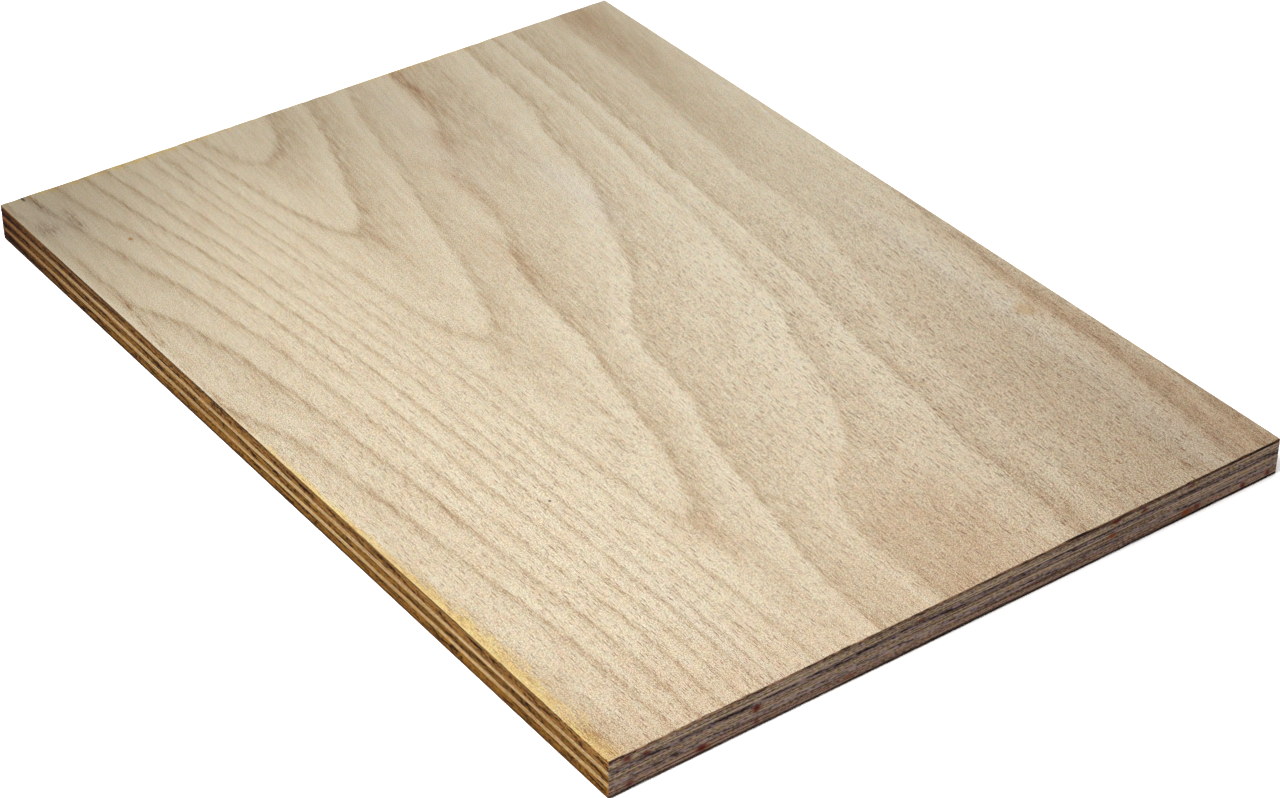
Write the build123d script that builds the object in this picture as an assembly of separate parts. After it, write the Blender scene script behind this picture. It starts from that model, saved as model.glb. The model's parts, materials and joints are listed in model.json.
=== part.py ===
from build123d import *
import os

# Plywood panel: seven peeled beech veneers bonded with their grain crossed, sanded and sawn to size.
# The panel lies flat. X runs along the grain of the face veneer, Y across it and Z up,
# and the origin is the middle of the underside. Sizes are in millimetres.

# Sawn outline of the panel
panel_length = 400.0
panel_width = 286.0
corner_radius = 0.4

# Pressed and sanded thickness of each kind of veneer
outer_veneer_thickness = 1.2
crossband_thickness = 3.0
long_ply_thickness = 1.8

# Small flat that sanding leaves on the long and short arrises of the two outer faces
arris_break = 0.25

# Lay-up from the underside to the face. Outer veneers and long plies have their grain along X,
# crossbands have it along Y, and the lay-up reads the same from both faces so that the panel stays flat.
lay_up = [
    ("back_veneer", outer_veneer_thickness),
    ("lower_crossband", crossband_thickness),
    ("lower_long_ply", long_ply_thickness),
    ("core_crossband", crossband_thickness),
    ("upper_long_ply", long_ply_thickness),
    ("upper_crossband", crossband_thickness),
    ("face_veneer", outer_veneer_thickness),
]

panel_outline = RectangleRounded(panel_length, panel_width, corner_radius)


def veneer(underside, thickness):
    """One veneer of the pressed panel, with its underside at the given height."""
    return Pos(0, 0, underside) * extrude(panel_outline, amount=thickness)


def break_arris(outer_face):
    """The veneer of an outer face, with the sharp edge around that face sanded off."""
    return chamfer(outer_face.edges(), arris_break)


plies = {}
height = 0.0
for name, thickness in lay_up:
    plies[name] = veneer(height, thickness)
    height += thickness

plies["back_veneer"] = break_arris(plies["back_veneer"].faces().sort_by(Axis.Z)[0])
plies["face_veneer"] = break_arris(plies["face_veneer"].faces().sort_by(Axis.Z)[-1])

os.makedirs("parts", exist_ok=True)
for name, ply in plies.items():
    ply.label = name
    export_step(ply, f"parts/{name}.step")

panel_box = Compound(children=list(plies.values())).bounding_box()
print("panel", panel_box.size.X, "x", panel_box.size.Y, "x", panel_box.size.Z, "mm in", len(plies), "plies")
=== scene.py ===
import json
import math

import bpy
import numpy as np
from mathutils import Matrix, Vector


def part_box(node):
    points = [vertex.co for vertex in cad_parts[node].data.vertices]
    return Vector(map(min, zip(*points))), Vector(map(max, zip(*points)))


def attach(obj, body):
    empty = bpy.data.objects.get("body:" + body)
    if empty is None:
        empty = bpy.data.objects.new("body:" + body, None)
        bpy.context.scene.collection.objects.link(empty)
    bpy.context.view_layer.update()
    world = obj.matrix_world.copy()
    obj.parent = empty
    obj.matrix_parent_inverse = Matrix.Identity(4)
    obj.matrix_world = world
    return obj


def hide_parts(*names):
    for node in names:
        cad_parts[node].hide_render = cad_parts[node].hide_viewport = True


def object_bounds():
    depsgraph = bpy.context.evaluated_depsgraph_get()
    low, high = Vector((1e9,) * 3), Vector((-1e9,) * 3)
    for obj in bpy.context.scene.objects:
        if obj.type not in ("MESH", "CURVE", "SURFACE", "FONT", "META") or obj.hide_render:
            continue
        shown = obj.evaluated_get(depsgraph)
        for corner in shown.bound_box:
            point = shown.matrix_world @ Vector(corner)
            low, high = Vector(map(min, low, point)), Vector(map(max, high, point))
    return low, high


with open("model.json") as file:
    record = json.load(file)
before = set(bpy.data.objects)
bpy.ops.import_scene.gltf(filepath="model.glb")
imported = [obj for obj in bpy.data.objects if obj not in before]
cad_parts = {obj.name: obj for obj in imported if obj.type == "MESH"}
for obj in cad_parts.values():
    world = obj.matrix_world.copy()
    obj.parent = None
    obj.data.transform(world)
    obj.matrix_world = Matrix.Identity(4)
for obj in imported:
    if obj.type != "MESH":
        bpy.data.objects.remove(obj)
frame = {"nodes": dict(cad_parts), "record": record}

# %% [markdown]
# A cut sheet of beech plywood. Seven peeled veneers are bonded with their grain crossed, sanded on
# both faces and sawn square, so a buyer sees three things: the flat figure of the face veneer, end
# grain on the plies that run out at an edge, and side grain on the plies that run along it.
# The solids already give every veneer its place. This lesson gives each one a sawn edge with real
# relief, and a wood that was cut from a tree: the colour follows growth rings and not a wallpaper.

MM = 0.001
cad_low, cad_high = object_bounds()
low = np.array(cad_low) / MM
high = np.array(cad_high) / MM
plies = sorted(frame["nodes"], key=lambda node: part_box(node)[0].z)
slots = {part["node"]: part["material_slot"] for part in frame["record"]["subparts"]}


def levels(node):
    """Heights of a ply's underside and top, in millimetres."""
    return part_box(node)[0].z / MM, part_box(node)[1].z / MM


print("panel", (high - low).round(2), "mm, plies from the underside up:", plies)

# %% [markdown]
# Random numbers shape the sawn edges. A seeded generator gives the same sheet on each run. White
# noise has no size, so it is blurred by a stated number of cells each way, which is the size of the
# torn fibres or saw ripples, and scaled to a spread of one.

# %% Soft noise with a size
def soft_noise(rng, shape, blur_cells):
    """Random heights, blurred by so many cells along each axis and scaled to a spread of one."""
    field = rng.normal(size=shape)
    for axis, cells in enumerate(blur_cells):
        frequency = np.fft.fftfreq(shape[axis])
        gain = np.exp(-2 * (math.pi * frequency * cells) ** 2)
        gain = np.expand_dims(gain, 1 - axis)
        field = np.fft.ifft(np.fft.fft(field, axis=axis) * gain, axis=axis).real
    return field / field.std()


print("spread of a blurred field:", soft_noise(np.random.default_rng(1), (40, 60), (2, 2)).std().round(3))

# %% [markdown]
# Every ply shares the sawn outline. A loop of points runs round it anticlockwise, and each point
# knows its side, its way out and how far along the side it lies. Those three are what a saw knows
# too, so the relief of the cut, the picture of the grain and the map for baking all start from them.
# Sides count from the front: front, right, back, left.

# %% The sawn outline
CORNER_RADIUS = 0.4
WAY_OUT = np.array([(0, -1), (1, 0), (0, 1), (-1, 0)], float)
FACE_STEPS = (2.0, 0.75)
EDGE_STEPS = (0.6, 0.6)


def outline(step_x, step_y):
    """Stations along X and Y, and the loop: its points, outward ways, sides and run along the side."""
    xs = np.linspace(low[0], high[0], round((high[0] - low[0]) / step_x) + 1)
    ys = np.linspace(low[1], high[1], round((high[1] - low[1]) / step_y) + 1)
    columns = np.concatenate([np.arange(len(xs)), np.full(len(ys) - 2, len(xs) - 1),
                              np.arange(len(xs))[::-1], np.zeros(len(ys) - 2, int)])
    rows = np.concatenate([np.zeros(len(xs), int), np.arange(1, len(ys) - 1),
                           np.full(len(xs), len(ys) - 1), np.arange(1, len(ys) - 1)[::-1]])
    counts = [len(xs) - 1, len(ys) - 1, len(xs) - 1, len(ys) - 1]
    side = np.repeat(np.arange(4), counts)
    step = np.array([xs[1] - xs[0], ys[1] - ys[0]] * 2)[side]
    run = np.concatenate([np.arange(count) for count in counts]) * step
    out = WAY_OUT[side]
    points = np.stack([xs[columns], ys[rows]], 1)
    corner_inset = CORNER_RADIUS * (1 - math.sqrt(0.5))
    for start in np.cumsum([0] + counts[:-1]):
        out[start] = WAY_OUT[side[start]] + WAY_OUT[side[start - 1]]
        points[start] -= corner_inset * out[start]
    return {"xs": xs, "ys": ys, "column": columns, "row": rows, "side": side, "step": step,
            "run": run, "out": out, "points": points, "on_short": side % 2 == 1}


face_loop = outline(*FACE_STEPS)
edge_loop = outline(*EDGE_STEPS)
print("outline points: outer veneers", len(face_loop["points"]), "and inner plies", len(edge_loop["points"]))

# %% [markdown]
# A ply is a closed mesh: rows of the outline stacked from its underside to its top, each point set
# in by the depth of the cut there, and a cap at both ends. A cap that shows is a fine grid, because it
# carries the figure. A cap that is glued to its neighbour is one flat face. The mesh also gets a map
# for baking, which gives nearly all its room to what shows: a strip for each sawn side, the shown
# face across the whole width, and a small corner for the glued face.

# %% Building a closed ply
FACE_SHARE = 0.715
SHOWN_PATCH = ((0.001, 0.001), (0.998, FACE_SHARE))
STRIPS = {True: (0.735, 0.05, 0.012), False: (0.01, 0.21, 0.02)}
GLUED_PATCHES = {
    True: {"bottom": ((0.75, 0.925), (0.24, 0.06)), "top": ((0.75, 0.925), (0.24, 0.06))},
    False: {"bottom": ((0.02, 0.94), (0.4, 0.05)), "top": ((0.55, 0.94), (0.4, 0.05))},
}
SHARP_ANGLE = 30


def cap_map(points, patch):
    """Places of cap points on the bake map, spread over one patch of it."""
    (u, v), (wide, tall) = patch
    share = (points - low[:2]) / (high[:2] - low[:2])
    return np.array([u, v]) + share * np.array([wide, tall])


def ply_mesh(name, loop, heights, inset, shown=None, relief=None):
    """A closed mesh of one ply. shown is "top", "bottom" or None, and relief lowers the shown face."""
    xs, ys, count = loop["xs"], loop["ys"], len(loop["points"])
    rings = loop["points"][None] - loop["out"][None] * inset[:, :, None]
    z = np.repeat(heights[:, None], count, 1)
    vertices = np.concatenate([rings, z[:, :, None]], 2).reshape(-1, 3)
    i = np.arange(count)
    following = (i + 1) % count
    ends = {"bottom": i[::-1], "top": (len(heights) - 1) * count + i}

    outer = shown is not None
    base, tall, gap = STRIPS[outer]
    longest = max(xs[-1] - xs[0], ys[-1] - ys[0])
    u0 = loop["run"] / longest
    u1 = u0 + loop["step"] / longest
    rise = (heights - heights[0]) / (heights[-1] - heights[0])
    strip = base + loop["side"] * (tall + gap)
    faces = []
    uv = []
    for j in range(len(heights) - 1):
        here, over = j * count, (j + 1) * count
        faces += np.stack([here + i, here + following, over + following, over + i], 1).tolist()
        v0, v1 = strip + tall * rise[j], strip + tall * rise[j + 1]
        uv.append(np.stack([u0, v0, u1, v0, u1, v1, u0, v1], 1).reshape(-1, 2))

    for end, ring in ends.items():
        if end != shown:
            faces.append(ring.tolist())
            uv.append(cap_map(vertices[ring, :2], GLUED_PATCHES[outer][end]))
            continue
        grid = np.full((len(xs), len(ys)), -1)
        grid[loop["column"], loop["row"]] = np.sort(ring)
        columns, rows = np.nonzero(grid < 0)
        grid[columns, rows] = len(vertices) + np.arange(len(columns))
        level = heights[-1] - relief if end == "top" else heights[0] + relief
        inner = np.stack([xs[columns], ys[rows], level[columns, rows]], 1)
        vertices = np.concatenate([vertices, inner])
        cells = np.stack([grid[:-1, :-1], grid[1:, :-1], grid[1:, 1:], grid[:-1, 1:]], 2).reshape(-1, 4)
        cells = cells if end == "top" else cells[:, ::-1]
        faces += cells.tolist()
        uv.append(cap_map(vertices[cells.reshape(-1), :2], SHOWN_PATCH))

    mesh = bpy.data.meshes.new(name)
    mesh.from_pydata(vertices * MM, [], faces)
    bake_map = np.concatenate(uv).astype(np.float32)
    mesh.uv_layers.new(name="OFBake").uv.foreach_set("vector", bake_map.ravel())
    mesh.polygons.foreach_set("use_smooth", np.ones(len(faces), bool))
    mesh.set_sharp_from_angle(angle=math.radians(SHARP_ANGLE))
    return mesh, vertices


print("bake map: sawn sides start at", STRIPS[True][0], "on outer veneers,", STRIPS[False][0], "on others")

# %% [markdown]
# A mesh becomes a piece once it is an object in the scene. It can also carry numbers, one a vertex,
# which a material reads by name. That is how the figure of the wood gets onto the face.

# %% Pieces, and numbers painted on them
pieces = {}


def place_piece(node, mesh):
    """Puts a ply's mesh into the scene."""
    piece = bpy.data.objects.new(node + "_sheet", mesh)
    bpy.context.collection.objects.link(piece)
    pieces[node] = piece
    print(piece.name, len(mesh.vertices), "vertices", len(mesh.polygons), "faces")


def paint(mesh, name, values):
    """Stores one number a vertex, for a material to read."""
    mesh.attributes.new(name, "FLOAT", "POINT").data.foreach_set("value", np.asarray(values, np.float32))


print("pieces to make:", len(plies))

# %% [markdown]
# A panel saw leaves three things on an edge. Its teeth leave faint slanted ripples. End grain tears
# into short pits, while side grain only splits along its fibres. And the hard glue between two plies
# chips away, so each joint is a fine groove. Each is about a tenth of a millimetre deep or less, so the
# relief is real but the sheet keeps its size: the cut only ever goes inward from the outline. A tear
# is given as its blur in rows, its length and its depth.

# %% Relief of a sawn edge
SAW_RIPPLE_PITCH = 2.6
SAW_RIPPLE_DEPTH = 0.012
SAW_RIPPLE_SLANT = 0.35
END_GRAIN_PIT = (0.7, 0.5, 0.045)
SIDE_GRAIN_SPLIT = (0.5, 9.0, 0.03)
DEEPEST_TEAR = 3
GLUE_GROOVE = 0.05


def sawn_inset(rng, loop, heights, grain_along_x):
    """How far the cut lies inside the outline, for each row of a ply and each point of the loop."""
    shape = (len(heights), len(loop["run"]))
    tears = []
    for rows, length, depth in (END_GRAIN_PIT, SIDE_GRAIN_SPLIT):
        noise = soft_noise(rng, shape, (rows, length / loop["step"].min()))
        tears.append(noise.clip(0, DEEPEST_TEAR) * depth)
    shows_end_grain = loop["on_short"] if grain_along_x else ~loop["on_short"]
    inset = np.where(shows_end_grain, *tears)
    slant = loop["run"][None] + SAW_RIPPLE_SLANT * heights[:, None]
    inset += SAW_RIPPLE_DEPTH * (1 + np.sin(2 * math.pi * slant / SAW_RIPPLE_PITCH))
    inset[[0, -1]] += GLUE_GROOVE
    return inset


trial = sawn_inset(np.random.default_rng(2), edge_loop, np.linspace(0, 3, 11), True)
print("sawn edge lies inside the outline by", trial.min().round(3), "to", trial.max().round(3), "mm")

# %% [markdown]
# The figure of the face. A veneer is a slice through nested growth rings, so the same ring shows as
# two limbs that meet at an apex: a cathedral. Each ring here is drawn once, as its two limbs in
# millimetres from the corner at low X and low Y. From them every point of the face gets an age,
# which is a whole number on a ring's edge and runs evenly between rings. A ring that closes inside
# the sheet ends both of its limbs in its apex.

# %% Growth rings of the face veneer
RINGS = [
    ([(0, 120), (10, 118), (20, 114), (28, 109), (33, 105), (35, 102), (35.5, 99)],
     [(0, 85), (15, 87), (26, 90), (32, 93), (35, 96), (35.5, 99)]),
    ([(0, 136), (12, 133.5), (25, 129.5), (50, 121.5), (75, 113.5), (88, 108.5), (95, 105), (99, 102),
      (100, 99.5)],
     [(0, 80), (45, 84.5), (62, 86), (75, 88.3), (88, 91), (95, 94), (99, 97), (100, 99.5)]),
    ([(0, 156), (25, 148), (50, 142.5), (100, 130), (137, 121.5), (165, 113.5), (178, 109.3), (185, 105.5),
      (188, 102.5), (189, 99.5)],
     [(0, 75), (40, 77.5), (75, 80.5), (110, 83.5), (140, 85.5), (160, 87.5), (175, 90.3), (184, 93.7),
      (188, 96.7), (189, 99.5)]),
    ([(0, 177), (20, 175.5), (48, 170), (60, 163.5), (100, 152.5), (125, 147), (150, 137), (175, 131.5),
      (200, 129), (225, 123.5), (275, 112.5), (290, 108), (303, 103.5), (312, 100), (317.5, 96.7),
      (319, 93.5)],
     [(0, 67), (50, 70.5), (100, 75), (150, 79), (200, 82.5), (250, 84.7), (300, 87), (312, 88.5),
      (317.5, 90.5), (319, 93.5)]),
    ([(0, 214), (25, 211.5), (50, 211), (62, 208.5), (80, 202), (125, 193), (140, 185), (165, 177.5),
      (190, 163), (200, 154), (212, 145), (230, 140.5), (260, 136.5), (275, 130), (300, 122.5),
      (330, 118.5), (350, 112.5), (372, 109), (400, 108)],
     [(0, 63), (50, 67), (100, 72), (165, 76.5), (200, 78.5), (250, 79.8), (325, 80.5), (400, 82)]),
    ([(0, 227.5), (75, 221.8), (110, 218.5), (150, 213), (200, 207), (225, 202), (237, 198.5), (250, 191),
      (290, 178.5), (308, 168), (318, 161), (325, 152), (330, 143.5), (345, 136.5), (362, 134), (400, 133)],
     [(0, 52.5), (50, 58), (100, 62.5), (150, 66), (200, 69), (300, 70), (340, 71.5), (400, 71.7)]),
    ([(0, 237), (50, 234.5), (75, 231.3), (105, 228.5), (125, 224.8), (200, 219.5), (225, 216), (240, 212),
      (275, 206.3), (325, 199.7), (400, 194)],
     [(0, 45), (50, 50.5), (100, 57), (150, 61), (200, 65), (300, 65), (350, 66), (400, 64.5)]),
    ([(0, 262), (20, 259), (75, 257), (100, 252), (150, 246.5), (195, 247.5), (210, 242), (237, 236),
      (262, 228), (290, 221.3), (350, 212), (400, 209)],
     [(0, 36), (25, 38), (75, 46.5), (100, 49), (150, 53.5), (200, 57), (300, 59.5), (400, 60.5)]),
    ([(0, 305), (100, 296), (200, 285), (225, 282), (250, 279.5), (315, 278.3), (340, 274), (400, 266)],
     [(0, 23), (25, 26.3), (50, 32), (75, 37), (100, 41), (165, 46.5), (275, 49.7), (345, 53), (400, 52.5)]),
    ([(0, 315), (345, 285), (400, 277)],
     [(0, 10.5), (40, 16.5), (75, 24), (100, 29), (150, 35.5), (200, 38), (275, 40.5), (345, 45),
      (400, 44.8)]),
    ([(0, 325), (400, 295)],
     [(0, 2), (50, 5.5), (95, 6), (101, 10.5), (118, 17), (150, 22.5), (210, 28.7), (275, 31.2),
      (345, 35.5), (400, 35.5)]),
    ([(0, 335), (400, 305)],
     [(0, -12), (150, -4), (172, 1.5), (200, 10.5), (250, 17), (300, 21), (340, 24.5), (400, 25.5)]),
    ([(0, 345), (400, 315)],
     [(0, -25), (200, -6), (300, 6), (400, 14)]),
]
AGE_AT_THE_LEFT = 0.55
NEXT_APEX = 470.0
AGE_BLUR = (4.0, 1.4)


def blurred(field, spacing, reach):
    """A field on even stations, smoothed over a reach in millimetres along each axis."""
    for axis, (gap, size) in enumerate(zip(spacing, reach)):
        cells = max(int(3 * size / gap), 1)
        weights = np.exp(-0.5 * (np.arange(-cells, cells + 1) * gap / size) ** 2)
        padded = np.pad(field, [(cells, cells) if axis == side else (0, 0) for side in (0, 1)], mode="edge")
        field = np.apply_along_axis(np.convolve, axis, padded, weights / weights.sum(), mode="valid")
    return field


def face_rings(xs, ys):
    """Ring age over the face, and how high each point lies above the middle of the cathedral."""
    apexes = [upper[-1] for upper, lower in RINGS if upper[-1] == lower[-1]]
    apex_x = np.array([0] + [x for x, y in apexes] + [NEXT_APEX])
    apex_age = np.array([AGE_AT_THE_LEFT] + list(range(1, len(apexes) + 2)))
    axis = np.interp(xs, [x for x, y in apexes], [y for x, y in apexes])
    age = np.empty((len(xs), len(ys)))
    for i, x in enumerate(xs):
        marks = [(axis[i], np.interp(x, apex_x, apex_age))]
        for k, (upper, lower) in enumerate(RINGS, 1):
            if x < upper[-1][0] or upper[-1] != lower[-1]:
                marks.insert(0, (np.interp(x, *zip(*lower)), k))
                marks.append((np.interp(x, *zip(*upper)), k))
        age[i] = np.interp(ys, *zip(*marks))
    return age, ys[None] - axis[:, None]


face_xs = face_loop["xs"] - low[0]
face_ys = face_loop["ys"] - low[1]
spacing = (face_xs[1], face_ys[1])
age, above_axis = face_rings(face_xs, face_ys)
face_age = blurred(age, spacing, AGE_BLUR)
print("rings on the face: ages", face_age.min().round(2), "to", face_age.max().round(2))

# %% [markdown]
# Fibres do not run quite along the sheet. Above the middle of the cathedral they slope down toward the
# right like the rings there, most at the left end, and below it they run nearly straight. The slope is
# a formula. Summed along the sheet, it gives every point the height at which its fibre starts on the
# left, and a pattern that is drawn in this height runs along the fibres.

# %% Fibre direction of the face veneer
FIBRE_SLOPE = -0.2
SLOPE_LEFT_AT_THE_RIGHT = 0.15
STRAIGHT_SHARE = 0.3
CATHEDRAL_MIDDLE = 105.0
SLOPE_BLEND = 25.0


def fibre_start(xs, ys):
    """Height at which the fibre through each point starts at the left end, in millimetres."""
    fade = 1 - (1 - SLOPE_LEFT_AT_THE_RIGHT) * xs / xs[-1]
    drop = FIBRE_SLOPE * np.concatenate([[0], np.cumsum(0.5 * (fade[1:] + fade[:-1]) * np.diff(xs))])
    share = STRAIGHT_SHARE + (1 - STRAIGHT_SHARE) / (1 + np.exp((CATHEDRAL_MIDDLE - ys) / SLOPE_BLEND))
    return ys[None] - drop[:, None] * share[None]


face_fibres = fibre_start(face_xs, face_ys)
print("fibres start", face_fibres.min().round(1), "to", face_fibres.max().round(1), "mm up the left end")

# %% [markdown]
# The back veneer is hidden here and only needs to be a good beech veneer of its own. Its figure comes
# from the same idea by formula: a slice along nested cones, at a distance from the pith that changes
# slowly along the sheet, gives open arches without a single drawn line. Its fibres run straight.

# %% Growth rings of the back veneer
PITH_Y = 118.0
PITH_DEPTH = 20.0
PITH_TILT = 0.19
PITH_SWAY = 6.0
PITH_SWAY_LENGTH = 75.0
RING_PITCH = 10.5
RING_FLATNESS = 0.9


def back_rings(xs, ys):
    """Ring age over the back: distance from a tilted pith, in ring pitches."""
    sway = PITH_SWAY * np.sin(xs / PITH_SWAY_LENGTH)[:, None]
    depth = PITH_DEPTH + PITH_TILT * xs[:, None]
    above_pith = ys[None] - PITH_Y - sway
    return np.hypot(above_pith * RING_FLATNESS, depth) / RING_PITCH, above_pith


back_age, above_pith = back_rings(face_xs, face_ys)
back_fibres = np.repeat(face_ys[None], len(face_xs), 0)
print("rings on the back: ages", back_age.min().round(2), "to", back_age.max().round(2))

# %% [markdown]
# Wood is never even. Each kind of unevenness on this face is a list of soft patches, and each patch has
# a place, a half length and half width in millimetres, and a strength. Patches of a kind add up.
# Greyer, duller stretches are painted shade, partly also the wood's own greyer tone, darkest at the
# front-left corner. Dark zones are deeper in tone, or paler where the strength is negative. Red
# zones blush. Faint ones hide the rings, and pale ones take the colour out. Streaks are short dark
# lines where the fibres were disturbed. A yellow tinge lies along two edges, and flecked zones have
# the most ray flecks.

# %% Uneven tone of the face
def patches(xs, ys, spots):
    """The sum of soft spots, each (x, y, half length, half width, strength), in millimetres."""
    field = np.zeros((len(xs), len(ys)))
    for x, y, along, across, strength in spots:
        near_x = np.exp(-0.5 * ((xs - x) / along) ** 2)
        near_y = np.exp(-0.5 * ((ys - y) / across) ** 2)
        field += strength * near_x[:, None] * near_y[None]
    return field


FACE_PATCHES = {
    # painted shade, partly also the wood's own greyer tone: darkest at the front-left corner, again at the
    # back-right one
    "dull": [
        (0, 0, 60, 40, 0.65), (0, 60, 35, 50, 0.14), (0, 130, 45, 90, 0.12), (400, 286, 90, 60, 0.3),
        (200, 0, 300, 22, 0.16), (50, 145, 60, 30, 0.1), (140, 15, 60, 16, 0.1), (400, 30, 30, 40, 0.08),
        (0, 100, 25, 45, 0.1),
    ],
    "dark": [
        (10, 271, 34, 8, 0.26), (60, 266, 30, 7, 0.12), (100, 259, 25, 5, 0.12), (140, 252, 25, 3.5, 0.07),
        (100, 282, 55, 6, -0.08), (335, 239, 75, 15, 0.12), (340, 251, 70, 5, 0.06),
        (385, 165, 40, 24, 0.12), (90, 156, 60, 14, 0.06), (180, 182, 100, 42, -0.12),
        (160, 225, 110, 16, -0.08), (250, 195, 80, 40, -0.06), (280, 130, 60, 40, -0.04),
        (170, 100, 60, 18, 0.05), (395, 225, 18, 18, 0.09), (400, 286, 60, 30, 0.12),
        (300, 268, 60, 4, -0.1), (200, 0, 400, 0.8, -0.25), (225, 261, 25, 1.5, 0.08),
        (300, 259, 50, 1.4, 0.12), (385, 253, 22, 1.5, 0.14),
    ],
    "red": [
        (375, 158, 42, 20, 0.2), (340, 236, 75, 20, 0.14), (400, 276, 70, 10, 0.35), (327, 94, 12, 5, 0.2),
        (16, 177.5, 20, 3, 0.3), (60, 164, 9, 3.5, 0.4), (150, 136.5, 12, 4, 0.22),
        (107, 104, 7, 1.5, 0.2), (280, 278, 40, 3, 0.3), (405, 110, 25, 110, 0.14), (405, 35, 30, 45, 0.1),
        (12, 268, 14, 6, 0.25), (90, 153, 18, 3, 0.25), (290, 10, 110, 25, 0.06), (300, 185, 90, 25, 0.05),
    ],
    "faint": [
        (85, 157, 50, 9, 0.7), (330, 150, 22, 14, 0.4), (300, 45, 90, 25, 0.2), (45, 4, 45, 4.5, 0.6),
    ],
    "pale": [
        (125, 186, 20, 5, 0.22), (90, 184.5, 35, 3, 0.15), (40, 162, 30, 5, 0.16), (22, 10, 14, 8, 0.3),
        (85, 157, 16, 3, 0.14), (225, 264, 30, 3.5, 0.16), (300, 263, 60, 4, 0.16),
        (380, 256, 30, 4, 0.16), (360, 64, 45, 2.5, 0.15),
    ],
    "streak": [
        (16, 177, 16, 2.6, 0.17), (58, 164, 7, 3.5, 0.14), (78, 157, 10, 2.2, 0.15),
        (97, 153.5, 12, 2.0, 0.26), (118, 148, 9, 1.8, 0.16), (138, 140, 8, 1.8, 0.18),
        (152, 136.5, 9, 3, 0.16), (168, 130, 12, 2.0, 0.14), (198, 141, 8, 2.2, 0.12),
        (15, 194, 14, 1.8, 0.16), (45, 189, 16, 1.8, 0.16), (85, 185, 22, 1.8, 0.16),
        (228, 112, 10, 0.9, 0.2), (250, 107, 9, 0.9, 0.35), (266, 99, 5, 1.6, 0.3),
        (265, 31, 9, 1.0, 0.35), (248, 17, 6, 0.9, 0.3), (14, 69.5, 8, 0.8, 0.4), (392, 249, 7, 1.2, 0.35),
        (27, 18, 6, 1.2, 0.6), (9, 12, 5, 1.2, 0.5), (27, 6.5, 4, 2.6, 0.5), (85, 5.3, 22, 0.8, 0.25),
        (92, 5, 1.3, 0.6, 0.6), (106, 4, 9, 0.7, 0.4), (119, 3, 3, 0.7, 0.7), (165, 2, 25, 0.8, 0.3),
        (107, 104, 6, 1.0, 0.25), (388, 4, 6, 1.5, 0.4),
    ],
    "yellow": [
        (335, 0, 38, 4.7, 0.9), (395, 0, 14, 6.5, 0.5), (235, 0, 45, 1.8, 0.8), (0, 52, 3.2, 48, 0.7),
        (0, 195, 2.2, 40, 0.55),
    ],
    "flecked": [
        (330, 215, 100, 45, 0.55), (330, 60, 90, 40, 0.2),
    ],
}
face_fields = {kind: patches(face_xs, face_ys, spots).clip(-1, 1) for kind, spots in FACE_PATCHES.items()}
print("strongest", {kind: round(float(field.max()), 2) for kind, field in face_fields.items()})

# %% [markdown]
# Now the outer veneers themselves. Sanding breaks the arris to a small flat. Across the grain, at the
# two short ends, the thin face veneer also splinters a little where the saw came out, so there the
# arris is set in by a few short chips. The face keeps a shallow unevenness from the sander.
# The finish reads these numbers off the mesh: the age and spacing of the rings, the limb of the
# cathedral, the start of the fibre, how coarse the grain looks (the left end is smoother), and a
# darkening of the edge, toward the left on the front edge and toward the back on the right one.

# %% The two outer veneers
ARRIS = 0.25
SAWN_ROWS = 4
SPLINTER_LENGTH = 2.2
SPLINTER_DEPTH = 0.22
DEEPEST_SPLINTER = 2
SPLINTER_ON_LONG_SIDES = 0.15
SPLINTER_BELOW_ARRIS = 0.4
SANDER_WAVE_LENGTH = 14.0
SANDER_WAVE_DEPTH = 0.02
LIMB_BLEND = 3.15
RING_SPACING_BLUR = (6.0, 3.0)
RINGS_PER_MM = (0.012, 0.2)
SMOOTH_GRAIN = 0.45
SMOOTH_END = 110.0
SMOOTH_FADE = 40.0
FRONT_DARKENING = 0.7
DARKENING_END = 265.0
DARKENING_FADE = 35.0
RIGHT_DARKENING_CURVE = 0.8
AT_THE_EDGE = 0.74


def from_corner(vertices):
    """X and Y from the sheet's corner, in mm, and which vertices lie on the front and the right edge."""
    x = vertices[:, 0] - low[0]
    y = vertices[:, 1] - low[1]
    return x, y, y < AT_THE_EDGE, x > high[0] - low[0] - AT_THE_EDGE


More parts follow.
